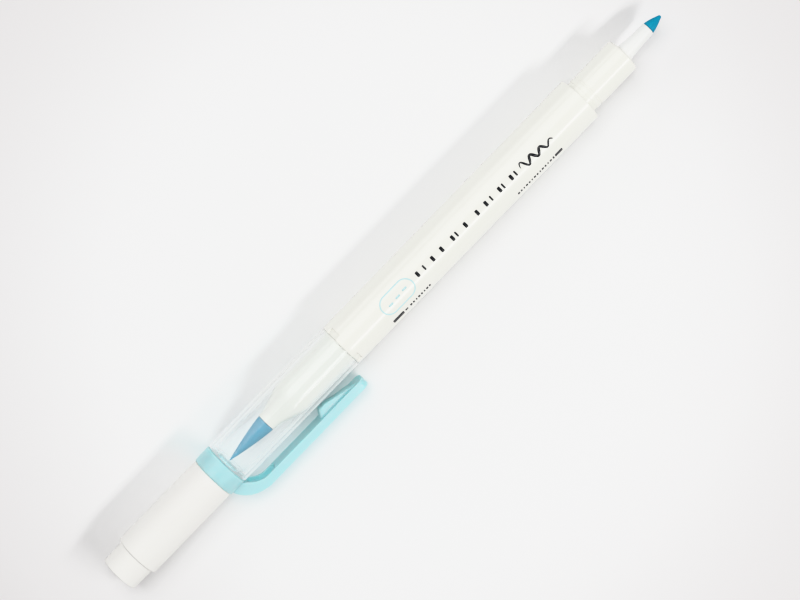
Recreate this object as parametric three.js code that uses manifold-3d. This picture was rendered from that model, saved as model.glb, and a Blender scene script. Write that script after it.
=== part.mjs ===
// Double-ended marker, lying on a flat surface with the fine end ready to write.
//
// A white barrel holds a fibre ink reservoir that feeds a brush nib at one end and a fine nib at the
// other. The brush nib is under a clear cap, which carries a ring, a clip and a post. The white cap of
// the fine end is pushed onto that post. Units are millimetres. The pen lies along X, with the fine nib
// towards +X, and +Z is up.

import * as THREE from 'three';
import { mergeVertices } from 'three/addons/utils/BufferGeometryUtils.js';
import Module from 'manifold-3d';

const wasm = await Module();
wasm.setup();

// ---------------------------------------------------------------------------------------------------
// Driving dimensions
// ---------------------------------------------------------------------------------------------------

// Stations along the pen, measured from the flat end of the white cap.
const POST_END = 17.45;
const RING_REAR = 29.35;
const RING_FRONT = 33.4;
const CLEAR_CAP_REAR = 33.6;
const CLEAR_CAP_MOUTH = 68.95;
const BARREL_REAR = 69.15;
const BARREL_FRONT = 143.55;
const COLLAR_REAR = 144.7;
const COLLAR_FRONT = 157.0;
const FINE_NIB_BASE = 164.95;
const FINE_NIB_TIP = 168.75;
const BRUSH_NIB_TIP = 34.4;
const BRUSH_NIB_BASE = 45.75;

// Radii of the turned pieces.
const BARREL_RADIUS = 5.5;
const BARREL_BORE = 4.6;
const PLUG_RADIUS = 4.4;
const CLEAR_CAP_BORE = 4.65;
const RING_RADIUS = 5.45;
const POST_RADIUS = 4.15;
const POST_BORE = 3.1;
const SPIGOT_RADIUS = 2.8;
const FINE_CAP_RADIUS = 5.25;
const FINE_CAP_BORE = 4.35;
const COLLAR_RADIUS = 4.15;
const BRUSH_NIB_RADIUS = 2.1;
const BRUSH_TIP_RADIUS = 0.12;
const FINE_NIB_RADIUS = 1.47;
const FINE_TIP_RADIUS = 0.45;

// Feed rods of the two nibs, and the reservoir that they reach into.
const BRUSH_ROD_RADIUS = 1.2;
const FINE_ROD_RADIUS = 1.0;
const ROD_CLEARANCE = 0.3;
const ROD_DEPTH_IN_RESERVOIR = 4;
const RESERVOIR_REAR = 79.7;
const RESERVOIR_FRONT = 132.7;
const RESERVOIR_RADIUS = 3.6;

// Clip: its height above the pen's axis, its section, and how far it points below the horizontal, so
// that the pen rests on the barrel and on the clip's lower corner.
const CLIP_OUTER = 10.25;
const CLIP_INNER = 8.2;
const CLIP_WIDTH = 4;
const CLIP_END = 67.25;
const CLIP_END_ROUNDING = 1.5;
const CLIP_DROOP = THREE.MathUtils.degToRad(20.5);
const CLIP_HINGE = 35.4;
const HINGE_GAP = 0.3;

// Four notches in the barrel's rim at the brush end.
const NOTCH_COUNT = 4;
const NOTCH_LENGTH = 1.4;
const NOTCH_WIDTH = 2.8;
const FIRST_NOTCH_ANGLE = THREE.MathUtils.degToRad(-34);

// Gap between a nib's shoulder and the rim that it sits on.
const NIB_SHOULDER_GAP = 0.1;

const ROUND_SEGMENTS = 40;
const SMALL_ROUND_SEGMENTS = 24;
const NIB_STEPS = 7;
const CURVE_SEGMENTS = 8;
const CORNER_SEGMENTS = 4;

// ---------------------------------------------------------------------------------------------------
// Shapes
// ---------------------------------------------------------------------------------------------------

// Shared vertices, positions only, and no triangle collapsed onto a line.
function weld(geometry) {
  const bare = geometry.clone();
  bare.deleteAttribute('normal');
  bare.deleteAttribute('uv');
  const merged = mergeVertices(bare, 1e-4);
  const corners = merged.index.array;
  const kept = [];
  for (let i = 0; i < corners.length; i += 3) {
    const [a, b, c] = [corners[i], corners[i + 1], corners[i + 2]];
    if (a !== b && b !== c && c !== a) kept.push(a, b, c);
  }
  merged.setIndex(kept);
  return merged;
}

// A solid of revolution about the pen's axis, from [station, radius] pairs that run towards +X on the
// outside. An outline that starts and ends on the axis is solid, and one that closes on itself is a tube.
function turned(outline, segments = ROUND_SEGMENTS) {
  const points = outline.map(([station, radius]) => new THREE.Vector2(radius, station));
  const geometry = new THREE.LatheGeometry(points, segments);
  geometry.rotateZ(-Math.PI / 2);
  return weld(geometry);
}

// A tube: the outer outline runs towards +X, and the inner one back again.
function turnedTube(outer, inner, segments = ROUND_SEGMENTS) {
  return turned([...outer, ...inner, outer[0]], segments);
}

// Points of a nib's pointed head from its base to its rounded end, as [distance from base, radius]. The
// power sets how full the head's sides are: 1 is a straight cone.
function nibOutline(radius, length, endRadius) {
  const fullness = 1.35;
  const points = [];
  for (let i = 0; i <= NIB_STEPS; i += 1) {
    const along = i / NIB_STEPS;
    const belly = 1 - Math.pow(along, fullness);
    points.push([along * (length - endRadius), endRadius + (radius - endRadius) * belly]);
  }
  return points;
}

function toManifold(geometry) {
  return new wasm.Manifold(new wasm.Mesh({
    numProp: 3,
    vertProperties: new Float32Array(geometry.attributes.position.array),
    triVerts: new Uint32Array(geometry.index.array),
  }));
}

function fromManifold(solid) {
  const mesh = solid.getMesh();
  const geometry = new THREE.BufferGeometry();
  geometry.setAttribute('position', new THREE.BufferAttribute(mesh.vertProperties, 3));
  geometry.setIndex(new THREE.BufferAttribute(mesh.triVerts, 1));
  return geometry;
}

// A flat shape drawn in X and Y, given a thickness centred on the XY plane.
function slab(shape, thickness, curveSegments) {
  const geometry = new THREE.ExtrudeGeometry(shape, { depth: thickness, bevelEnabled: false, curveSegments });
  geometry.translate(0, 0, -thickness / 2);
  return weld(geometry);
}

// ---------------------------------------------------------------------------------------------------
// Barrel and ink reservoir
// ---------------------------------------------------------------------------------------------------

function barrel() {
  const rounding = 0.25;
  const tube = turnedTube(
    [
      [BARREL_REAR, BARREL_RADIUS - rounding],
      [BARREL_REAR + rounding, BARREL_RADIUS],
      [BARREL_FRONT - rounding, BARREL_RADIUS],
      [BARREL_FRONT, BARREL_RADIUS - rounding],
    ],
    [
      [BARREL_FRONT, BARREL_BORE],
      [BARREL_REAR, BARREL_BORE],
    ],
  );
  let solid = toManifold(tube);
  for (let i = 0; i < NOTCH_COUNT; i += 1) {
    const overlap = 1;
    const notch = new THREE.BoxGeometry(NOTCH_LENGTH + overlap, 2 * BARREL_RADIUS, NOTCH_WIDTH);
    notch.translate(BARREL_REAR + (NOTCH_LENGTH - overlap) / 2, BARREL_RADIUS, 0);
    notch.rotateX(Math.PI / 2 + FIRST_NOTCH_ANGLE + (i * 2 * Math.PI) / NOTCH_COUNT);
    solid = solid.subtract(toManifold(weld(notch)));
  }
  return fromManifold(solid);
}

// The fibre rod has a bore in each end for the feed rod of a nib.
function reservoirFibre() {
  const brushBore = BRUSH_ROD_RADIUS + ROD_CLEARANCE;
  const fineBore = FINE_ROD_RADIUS + ROD_CLEARANCE;
  const depth = ROD_DEPTH_IN_RESERVOIR + ROD_CLEARANCE;
  return turned([
    [RESERVOIR_REAR + depth, 0],
    [RESERVOIR_REAR + depth, brushBore],
    [RESERVOIR_REAR, brushBore],
    [RESERVOIR_REAR, RESERVOIR_RADIUS],
    [RESERVOIR_FRONT, RESERVOIR_RADIUS],
    [RESERVOIR_FRONT, fineBore],
    [RESERVOIR_FRONT - depth, fineBore],
    [RESERVOIR_FRONT - depth, 0],
  ], SMALL_ROUND_SEGMENTS);
}

function reservoirFilm() {
  const inner = RESERVOIR_RADIUS + 0.2;
  const outer = inner + 0.2;
  return turnedTube(
    [[RESERVOIR_REAR, outer], [RESERVOIR_FRONT, outer]],
    [[RESERVOIR_FRONT, inner], [RESERVOIR_REAR, inner]],
    SMALL_ROUND_SEGMENTS,
  );
}

// ---------------------------------------------------------------------------------------------------
// Brush end: section and nib
// ---------------------------------------------------------------------------------------------------

// The nose widens from a small rim round the nib to a cylinder, and a plug is pressed into the barrel.
function brushSection() {
  const rimRadius = BRUSH_NIB_RADIUS + 0.15;
  const bodyRadius = CLEAR_CAP_BORE - 0.3;
  const bore = BRUSH_ROD_RADIUS + ROD_CLEARANCE;
  const rimRounding = 0.15;
  const front = BRUSH_NIB_BASE + NIB_SHOULDER_GAP;
  const plugFront = BARREL_REAR + 0.2;
  const plugRear = RESERVOIR_REAR - 0.3;
  return turnedTube(
    [
      [front, rimRadius - rimRounding],
      [front + rimRounding, rimRadius],
      [front + 0.9, rimRadius],
      [front + 3.0, 2.75],
      [front + 5.0, 3.45],
      [front + 6.6, 4.0],
      [front + 7.9, bodyRadius - 0.1],
      [front + 9.9, bodyRadius],
      [plugFront, bodyRadius],
      [plugFront, PLUG_RADIUS],
      [plugRear, PLUG_RADIUS],
    ],
    [
      [plugRear, bore],
      [front, bore],
    ],
  );
}

// The head points towards -X, and the rod behind it reaches into the reservoir.
function brushNib() {
  const length = BRUSH_NIB_BASE - BRUSH_NIB_TIP;
  const head = nibOutline(BRUSH_NIB_RADIUS, length, BRUSH_TIP_RADIUS).reverse();
  const rodEnd = RESERVOIR_REAR + ROD_DEPTH_IN_RESERVOIR;
  return turned([
    [BRUSH_NIB_TIP, 0],
    ...head.map(([distance, radius]) => [BRUSH_NIB_BASE - distance, radius]),
    [BRUSH_NIB_BASE, BRUSH_ROD_RADIUS],
    [rodEnd, BRUSH_ROD_RADIUS],
    [rodEnd, 0],
  ], SMALL_ROUND_SEGMENTS);
}

// ---------------------------------------------------------------------------------------------------
// Fine end: section with its collar, nib holder and nib
// ---------------------------------------------------------------------------------------------------

const HOLDER_SOCKET = { rear: 149, radius: 2.3 };

function fineSection() {
  const plugRear = RESERVOIR_FRONT + 0.3;
  const plugFront = BARREL_FRONT - 0.2;
  const grooveRadius = COLLAR_RADIUS - 0.2;
  const ringRadius = COLLAR_RADIUS + 0.05;
  const ringFront = COLLAR_REAR + 1.2;
  const rounding = 0.35;
  return turnedTube(
    [
      [plugRear, PLUG_RADIUS],
      [plugFront, PLUG_RADIUS],
      [plugFront, grooveRadius],
      [COLLAR_REAR, grooveRadius],
      [COLLAR_REAR, ringRadius],
      [ringFront, ringRadius],
      [ringFront, COLLAR_RADIUS],
      [COLLAR_FRONT - rounding, COLLAR_RADIUS],
      [COLLAR_FRONT, COLLAR_RADIUS - rounding],
    ],
    [
      [COLLAR_FRONT, HOLDER_SOCKET.radius],
      [HOLDER_SOCKET.rear, HOLDER_SOCKET.radius],
      [HOLDER_SOCKET.rear, FINE_ROD_RADIUS + ROD_CLEARANCE],
      [plugRear, FINE_ROD_RADIUS + ROD_CLEARANCE],
    ],
  );
}

function fineNibHolder() {
  const rear = HOLDER_SOCKET.rear + 0.3;
  const front = FINE_NIB_BASE - NIB_SHOULDER_GAP;
  const bore = FINE_ROD_RADIUS + 0.2;
  const shankRadius = HOLDER_SOCKET.radius - 0.25;
  const lipRadius = FINE_NIB_RADIUS + 0.08;
  return turnedTube(
    [
      [rear, shankRadius],
      [COLLAR_FRONT + 0.3, shankRadius],
      [front - 3, lipRadius + 0.07],
      [front, lipRadius],
    ],
    [
      [front, bore],
      [rear, bore],
    ],
    SMALL_ROUND_SEGMENTS,
  );
}

function fineNib() {
  const head = nibOutline(FINE_NIB_RADIUS, FINE_NIB_TIP - FINE_NIB_BASE, FINE_TIP_RADIUS);
  const rodEnd = RESERVOIR_FRONT - ROD_DEPTH_IN_RESERVOIR;
  return turned([
    [rodEnd, 0],
    [rodEnd, FINE_ROD_RADIUS],
    [FINE_NIB_BASE, FINE_ROD_RADIUS],
    ...head.map(([distance, radius]) => [FINE_NIB_BASE + distance, radius]),
    [FINE_NIB_TIP, 0],
  ], SMALL_ROUND_SEGMENTS);
}

// ---------------------------------------------------------------------------------------------------
// Brush cap: clear shell, ring with post, clip arm
// ---------------------------------------------------------------------------------------------------

// The shell's end wall has a hole for the ring's spigot.
function brushCap() {
  const wallFront = CLEAR_CAP_REAR + 1.2;
  const hole = SPIGOT_RADIUS + 0.2;
  const rounding = 0.2;
  return turnedTube(
    [
      [CLEAR_CAP_REAR, hole],
      [CLEAR_CAP_REAR, BARREL_RADIUS],
      [CLEAR_CAP_MOUTH - rounding, BARREL_RADIUS],
      [CLEAR_CAP_MOUTH, BARREL_RADIUS - rounding],
    ],
    [
      [CLEAR_CAP_MOUTH, CLEAR_CAP_BORE],
      [wallFront, CLEAR_CAP_BORE],
      [wallFront, hole],
    ],
  );
}

// Side view of the whole clip in stations and heights above the axis, which point along -Y: an arch
// from the ring's rear edge, and a straight bar.
function clipSideView() {
  const rootHeight = 3;
  const archEnd = 37.95;
  const outerArchEnd = 37.3;
  const archKnee = { outer: [30.95, 9.75], inner: [35.45, CLIP_INNER] };
  const innerArchStart = 33.6;
  const clearance = BARREL_RADIUS + 0.35;
  const shape = new THREE.Shape();
  shape.moveTo(RING_REAR, -rootHeight);
  shape.quadraticCurveTo(archKnee.outer[0], -archKnee.outer[1], outerArchEnd, -CLIP_OUTER);
  shape.lineTo(CLIP_END, -CLIP_OUTER);
  shape.lineTo(CLIP_END, -CLIP_INNER);
  shape.lineTo(archEnd, -CLIP_INNER);
  shape.quadraticCurveTo(archKnee.inner[0], -archKnee.inner[1], innerArchStart, -clearance);
  shape.lineTo(RING_FRONT, -clearance);
  shape.lineTo(RING_FRONT, -rootHeight);
  shape.closePath();
  return shape;
}

// Side view of the pad on the clip's inner face, which grips the pocket. Its foot is sunk in the bar.
function padSideView() {
  const foot = CLIP_INNER + 0.4;
  const pad = { start: 54.35, topStart: 55.55, topEnd: 57.55, end: 64.55, height: 6.3 };
  const shape = new THREE.Shape();
  shape.moveTo(pad.start, -foot);
  shape.lineTo(pad.end, -foot);
  shape.lineTo(pad.end, -CLIP_INNER);
  shape.lineTo(pad.topEnd, -pad.height);
  shape.lineTo(pad.topStart, -pad.height);
  shape.lineTo(pad.start, -CLIP_INNER);
  shape.closePath();
  return shape;
}

// Plan of the clip between two stations, square at the root and rounded at the free end.
function clipPlan(start, end, rounding) {
  const half = CLIP_WIDTH / 2;
  const shape = new THREE.Shape();
  shape.moveTo(start, -half);
  shape.lineTo(end - rounding, -half);
  if (rounding > 0) shape.absarc(end - rounding, -half + rounding, rounding, -Math.PI / 2, 0);
  shape.lineTo(end, half - rounding);
  if (rounding > 0) shape.absarc(end - rounding, half - rounding, rounding, 0, Math.PI / 2);
  shape.lineTo(start, half);
  shape.closePath();
  return shape;
}

// The clip between two stations: its side view crossed with its plan.
function clipPiece(start, end, rounding) {
  const side = toManifold(slab(clipSideView(), CLIP_WIDTH, CURVE_SEGMENTS));
  const plan = slab(clipPlan(start, end, rounding), 4 * CLIP_OUTER, CORNER_SEGMENTS);
  plan.rotateX(Math.PI / 2);
  return side.intersect(toManifold(plan));
}

// Ring, hollow post and spigot are turned, and the clip's root is joined on where it points down.
function clipRing() {
  const rounding = 0.3;
  const rearRounding = 0.7;
  const spigotFront = CLEAR_CAP_REAR + 0.4;
  const postCoreEnd = RING_REAR + 1.0;
  const body = turned([
    [postCoreEnd, 0],
    [postCoreEnd, POST_BORE],
    [POST_END, POST_BORE],
    [POST_END, POST_RADIUS - rounding],
    [POST_END + rounding, POST_RADIUS],
    [RING_REAR, POST_RADIUS],
    [RING_REAR, RING_RADIUS - rearRounding],
    [RING_REAR + rearRounding * 0.29, RING_RADIUS - rearRounding * 0.29],
    [RING_REAR + rearRounding, RING_RADIUS],
    [RING_FRONT, RING_RADIUS],
    [RING_FRONT, SPIGOT_RADIUS],
    [spigotFront, SPIGOT_RADIUS],
    [spigotFront, 0],
  ]);
  const rootGeometry = fromManifold(clipPiece(RING_REAR, CLIP_HINGE - HINGE_GAP / 2, 0));
  rootGeometry.rotateX(CLIP_DROOP);
  return fromManifold(toManifold(body).add(toManifold(rootGeometry)));
}

function clipArm() {
  const padWidth = 2.4;
  const bar = clipPiece(CLIP_HINGE + HINGE_GAP / 2, CLIP_END, CLIP_END_ROUNDING);
  const pad = toManifold(slab(padSideView(), padWidth, CURVE_SEGMENTS));
  return fromManifold(bar.add(pad));
}

// ---------------------------------------------------------------------------------------------------
// White cap of the fine end, posted behind the ring
// ---------------------------------------------------------------------------------------------------

const FINE_CAP_STUB = { end: 5.6, radius: 4.55, bore: 3.6 };

function fineCap() {
  const mouth = RING_REAR - 0.2;
  const boreEnd = FINE_CAP_STUB.end + 0.2;
  const endWall = 1.2;
  const rounding = 0.4;
  return turned([
    [0, 0],
    [0, FINE_CAP_STUB.radius - rounding],
    [rounding, FINE_CAP_STUB.radius],
    [FINE_CAP_STUB.end, FINE_CAP_STUB.radius],
    [FINE_CAP_STUB.end, FINE_CAP_RADIUS - rounding],
    [FINE_CAP_STUB.end + rounding, FINE_CAP_RADIUS],
    [mouth, FINE_CAP_RADIUS],
    [mouth, FINE_CAP_BORE],
    [boreEnd, FINE_CAP_BORE],
    [boreEnd, FINE_CAP_STUB.bore],
    [endWall, FINE_CAP_STUB.bore],
    [endWall, 0],
  ]);
}

// The liner seals round the fine nib's holder when the cap is on the fine end.
function fineCapLiner() {
  const rear = FINE_CAP_STUB.end + 0.5;
  const front = POST_END - 0.5;
  const outer = FINE_CAP_BORE - 0.25;
  const inner = outer - 0.7;
  return turnedTube(
    [[rear, outer], [front, outer]],
    [[front, inner], [rear, inner]],
    SMALL_ROUND_SEGMENTS,
  );
}

// ---------------------------------------------------------------------------------------------------
// Assembly
// ---------------------------------------------------------------------------------------------------

const WHITE_PLASTIC = { color: 0xf2f1ec, roughness: 0.3, metalness: 0 };
const SATIN_WHITE_PLASTIC = { color: 0xf0efea, roughness: 0.45, metalness: 0 };
const NATURAL_PLASTIC = { color: 0xe4e3dd, roughness: 0.4, metalness: 0 };
const CLEAR_PLASTIC = { color: 0xe9eff0, roughness: 0.08, metalness: 0, transparent: true, opacity: 0.35 };
const AQUA_PLASTIC = { color: 0x7fcfd4, roughness: 0.3, metalness: 0 };
const INKED_NIB = { color: 0x0a82aa, roughness: 0.75, metalness: 0 };
const INKED_FIBRE = { color: 0x2f9dbd, roughness: 0.9, metalness: 0 };
const FILM = { color: 0xdfeaec, roughness: 0.2, metalness: 0 };

function piece(name, geometry, finish) {
  geometry.computeVertexNormals();
  const mesh = new THREE.Mesh(geometry, new THREE.MeshStandardMaterial(finish));
  mesh.name = name;
  return mesh;
}

const pen = new THREE.Group();
pen.add(piece('barrel', barrel(), WHITE_PLASTIC));
pen.add(piece('reservoir_fibre', reservoirFibre(), INKED_FIBRE));
pen.add(piece('reservoir_film', reservoirFilm(), FILM));
pen.add(piece('brush_section', brushSection(), WHITE_PLASTIC));
pen.add(piece('brush_nib', brushNib(), INKED_NIB));
pen.add(piece('fine_section', fineSection(), WHITE_PLASTIC));
pen.add(piece('fine_nib_holder', fineNibHolder(), NATURAL_PLASTIC));
pen.add(piece('fine_nib', fineNib(), INKED_NIB));
pen.add(piece('brush_cap', brushCap(), CLEAR_PLASTIC));
pen.add(piece('clip_ring', clipRing(), AQUA_PLASTIC));
pen.add(piece('fine_cap', fineCap(), SATIN_WHITE_PLASTIC));
pen.add(piece('fine_cap_liner', fineCapLiner(), NATURAL_PLASTIC));

const clip = new THREE.Group();
clip.rotation.x = CLIP_DROOP;
clip.add(piece('clip_arm', clipArm(), AQUA_PLASTIC));
pen.add(clip);

// The origin is on the surface that the pen lies on, under the middle of its box.
const box = new THREE.Box3().setFromObject(pen, true);
pen.position.set(-(box.min.x + box.max.x) / 2, -(box.min.y + box.max.y) / 2, -box.min.z);

const group = new THREE.Group();
group.add(pen);

export default group;
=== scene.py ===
"""Double-ended marker on a white table: a brush nib under a clear cap, and a fine nib ready to write.

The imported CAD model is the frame. Shapes are drawn in millimetres, as stations along the pen from the
flat end of its white cap and radii from its axis, and are then put where the frame has them.
"""

import math

import bmesh
import bpy
from mathutils import Matrix, Vector
from mathutils.geometry import interpolate_bezier


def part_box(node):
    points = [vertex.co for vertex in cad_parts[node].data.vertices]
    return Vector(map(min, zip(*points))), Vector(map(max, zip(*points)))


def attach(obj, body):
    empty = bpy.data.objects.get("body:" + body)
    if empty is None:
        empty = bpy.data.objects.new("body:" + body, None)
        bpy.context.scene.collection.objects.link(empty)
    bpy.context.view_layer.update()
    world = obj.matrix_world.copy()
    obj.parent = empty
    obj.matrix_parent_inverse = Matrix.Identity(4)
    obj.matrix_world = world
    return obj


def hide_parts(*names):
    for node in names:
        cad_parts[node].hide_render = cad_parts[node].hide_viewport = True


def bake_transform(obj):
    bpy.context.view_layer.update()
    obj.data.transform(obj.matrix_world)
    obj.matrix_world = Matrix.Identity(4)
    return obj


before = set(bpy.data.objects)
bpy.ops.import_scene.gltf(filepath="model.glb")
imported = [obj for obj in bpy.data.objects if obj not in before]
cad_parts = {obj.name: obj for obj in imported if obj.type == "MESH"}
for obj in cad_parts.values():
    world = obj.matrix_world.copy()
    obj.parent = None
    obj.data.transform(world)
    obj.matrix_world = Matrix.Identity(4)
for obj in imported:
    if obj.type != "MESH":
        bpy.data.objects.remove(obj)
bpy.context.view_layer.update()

# ---------------------------------------------------------------------------------------------------
# Barrel
# A long tube of white polypropylene, injection moulded in a polished tool. Its rim at the brush end has
# four notches, which the cap's mouth stands against.
# ---------------------------------------------------------------------------------------------------

MM = 0.001
NEAR = 0.01
TAIL_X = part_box("fine_cap")[0].x
BARREL_LOW, BARREL_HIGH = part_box("barrel")
PEN_AXIS = (BARREL_LOW + BARREL_HIGH) / 2
BARREL_REAR = (BARREL_LOW.x - TAIL_X) / MM
BARREL_FRONT = (BARREL_HIGH.x - TAIL_X) / MM
PRINT_ROOM = 0.02
BARREL_RADIUS = (BARREL_HIGH.z - BARREL_LOW.z) / 2 / MM - PRINT_ROOM
BARREL_WALL = 0.88
BARREL_STEPS = 120
NOTCH_LENGTH = 1.4
NOTCH_STEPS = 10
FIRST_NOTCH = math.radians(34)
SHARP = math.radians(30)


def turned(outline, steps=128, closed=False):
    """A shape turned about the pen's axis from [station, radius] pairs."""
    shape = bmesh.new()
    corners = [shape.verts.new((station, radius, 0)) for station, radius in outline]
    following = corners[1:] + corners[:1] if closed else corners[1:]
    for corner, next_corner in zip(corners, following):
        shape.edges.new((corner, next_corner))
    bmesh.ops.spin(
        shape, geom=shape.verts[:] + shape.edges[:], cent=(0, 0, 0), axis=(1, 0, 0),
        angle=math.tau, steps=steps, use_merge=True,
    )
    bmesh.ops.remove_doubles(shape, verts=shape.verts, dist=1e-4)
    bmesh.ops.recalc_face_normals(shape, faces=shape.faces)
    return shape


def place_on_pen(shape):
    """Takes a shape from millimetres about the pen's axis to its place in the frame."""
    bmesh.ops.scale(shape, vec=(MM, MM, MM), verts=shape.verts)
    bmesh.ops.translate(shape, vec=(TAIL_X, PEN_AXIS.y, PEN_AXIS.z), verts=shape.verts)


def add_piece(name, shape, material):
    """A smooth-shaded object at the origin, with the shape's sharp edges kept."""
    mesh = bpy.data.meshes.new(name)
    shape.to_mesh(mesh)
    shape.free()
    mesh.materials.append(material)
    mesh.shade_smooth()
    mesh.set_sharp_from_angle(angle=SHARP)
    piece = bpy.data.objects.new(name, mesh)
    bpy.context.scene.collection.objects.link(piece)
    return piece


def soften_edges(piece, width):
    """Moulded pieces have no knife edges: each one gets a small round, and flat faces stay flat."""
    rounds = piece.modifiers.new("rounded_edges", "BEVEL")
    rounds.width = width * MM
    rounds.segments = 3
    rounds.limit_method = "ANGLE"
    rounds.angle_limit = SHARP
    piece.modifiers.new("even_shading", "WEIGHTED_NORMAL")


def linear(colour):
    """An sRGB hex colour as linear red, green, blue and alpha."""
    channels = [int(colour[i:i + 2], 16) / 255 for i in (1, 3, 5)]
    return [c / 12.92 if c <= 0.04045 else ((c + 0.055) / 1.055) ** 2.4 for c in channels] + [1]


def add_node(material, kind, inputs=None, **settings):
    """Adds a shader node. Inputs are values, or other nodes' outputs to link."""
    node = material.node_tree.nodes.new("ShaderNode" + kind)
    for setting, value in settings.items():
        setattr(node, setting, value)
    for socket, value in (inputs or {}).items():
        if isinstance(value, bpy.types.NodeSocket):
            material.node_tree.links.new(value, node.inputs[socket])
        else:
            node.inputs[socket].default_value = value
    return node


def new_material(name):
    material = bpy.data.materials.new(name)
    material.use_nodes = True
    material.node_tree.nodes.clear()
    return material


def feature(size_mm):
    """The noise scale that gives features of that size."""
    return 1 / (size_mm * MM)


# Polypropylene filled with titanium white, from a polished mould: an even, faintly warm white with a
# clear gloss. The melt's flow leaves a slow ripple in the gloss and a trace of unevenness in the tone.
glossy_polypropylene = new_material("moulded_white_polypropylene")
place = add_node(glossy_polypropylene, "TexCoord")
flow = add_node(glossy_polypropylene, "TexNoise", {
    "Vector": place.outputs["Object"], "Scale": feature(9), "Detail": 3.0, "Roughness": 0.5,
})
tone = add_node(glossy_polypropylene, "Mix", {
    0: flow.outputs[0], 6: linear("#e2e2db"), 7: linear("#e7e7e1"),
}, data_type="RGBA")
gloss = add_node(glossy_polypropylene, "MapRange", {
    "Value": flow.outputs[0], "From Min": 0.3, "From Max": 0.7, "To Min": 0.17, "To Max": 0.22,
})
ripple = add_node(glossy_polypropylene, "TexNoise", {
    "Vector": place.outputs["Object"], "Scale": feature(1.4), "Detail": 2.0,
})
skin = add_node(glossy_polypropylene, "Bump", {
    "Height": ripple.outputs[0], "Strength": 0.25, "Distance": 0.012 * MM,
})
surface = add_node(glossy_polypropylene, "BsdfPrincipled", {
    "Base Color": tone.outputs[2], "Roughness": gloss.outputs[0], "Normal": skin.outputs[0],
    "IOR": 1.49,
})
add_node(glossy_polypropylene, "OutputMaterial", {"Surface": surface.outputs[0]})

barrel_shape = turned([
    [BARREL_REAR, BARREL_RADIUS],
    [BARREL_REAR + NOTCH_LENGTH, BARREL_RADIUS],
    [BARREL_FRONT, BARREL_RADIUS],
], steps=BARREL_STEPS)
step_angle = math.tau / BARREL_STEPS
first_edge = math.pi / 2 - FIRST_NOTCH - NOTCH_STEPS * step_angle / 2
bmesh.ops.rotate(
    barrel_shape, cent=(0, 0, 0), matrix=Matrix.Rotation(first_edge, 3, "X"), verts=barrel_shape.verts,
)
notched = []
for face in barrel_shape.faces:
    centre = face.calc_center_median()
    turns = (math.atan2(centre.z, centre.y) - first_edge) % (math.pi / 2)
    if centre.x < BARREL_REAR + NOTCH_LENGTH and turns < NOTCH_STEPS * step_angle:
        notched.append(face)
bmesh.ops.delete(barrel_shape, geom=notched, context="FACES")
place_on_pen(barrel_shape)
barrel = add_piece("barrel_tube", barrel_shape, glossy_polypropylene)
wall = barrel.modifiers.new("wall", "SOLIDIFY")
wall.thickness = BARREL_WALL * MM
wall.offset = -1
soften_edges(barrel, width=0.16)
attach(barrel, "barrel")
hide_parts("barrel")

# ---------------------------------------------------------------------------------------------------
# Ink reservoir
# A bundle of polyester fibre, soaked with ink, in a sleeve of clear film. It fills the barrel and stays
# as the frame has it.
# ---------------------------------------------------------------------------------------------------

# Fibres of about 0.03 mm run along the pen; they are drawn 0.12 mm across to show. Ink tints them.
soaked_polyester = new_material("ink_soaked_polyester_fibre")
place = add_node(soaked_polyester, "TexCoord")
along = add_node(soaked_polyester, "Mapping", {
    "Vector": place.outputs["Object"], "Scale": (0.04, 1, 1),
})
strands = add_node(soaked_polyester, "TexNoise", {
    "Vector": along.outputs[0], "Scale": feature(0.12), "Detail": 3.0,
})
tint = add_node(soaked_polyester, "Mix", {
    0: strands.outputs[0], 6: linear("#2a93b4"), 7: linear("#56b8cf"),
}, data_type="RGBA")
relief = add_node(soaked_polyester, "Bump", {
    "Height": strands.outputs[0], "Strength": 0.6, "Distance": 0.05 * MM,
})
surface = add_node(soaked_polyester, "BsdfPrincipled", {
    "Base Color": tint.outputs[2], "Roughness": 0.9, "Normal": relief.outputs[0],
})
add_node(soaked_polyester, "OutputMaterial", {"Surface": surface.outputs[0]})
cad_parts["reservoir_fibre"].material_slots[0].material = soaked_polyester

# Polypropylene film, drawn tight: clear and shiny, with fine creases along the pen.
clear_film = new_material("clear_polypropylene_film")
place = add_node(clear_film, "TexCoord")
along = add_node(clear_film, "Mapping", {"Vector": place.outputs["Object"], "Scale": (0.1, 1, 1)})
creases = add_node(clear_film, "TexNoise", {"Vector": along.outputs[0], "Scale": feature(0.6)})
tension = add_node(clear_film, "Bump", {
    "Height": creases.outputs[0], "Strength": 0.4, "Distance": 0.03 * MM,
})
surface = add_node(clear_film, "BsdfPrincipled", {
    "Base Color": linear("#f2f7f7"), "Roughness": 0.12, "IOR": 1.49, "Transmission Weight": 0.85,
    "Normal": tension.outputs[0],
})
add_node(clear_film, "OutputMaterial", {"Surface": surface.outputs[0]})
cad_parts["reservoir_film"].material_slots[0].material = clear_film

# ---------------------------------------------------------------------------------------------------
# Brush end: nose and nib
# The nose is white polypropylene too, pressed into the barrel. Its cone ends in a small rim that holds
# the nib, a long pointed brush of bonded fibre, soaked with ink.
# ---------------------------------------------------------------------------------------------------

NOSE_FRONT = (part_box("brush_section")[0].x - TAIL_X) / MM
NOSE_REAR = (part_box("brush_section")[1].x - TAIL_X) / MM
NOSE_BORE = 1.5
NOSE_RADIUS = 4.35
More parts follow.
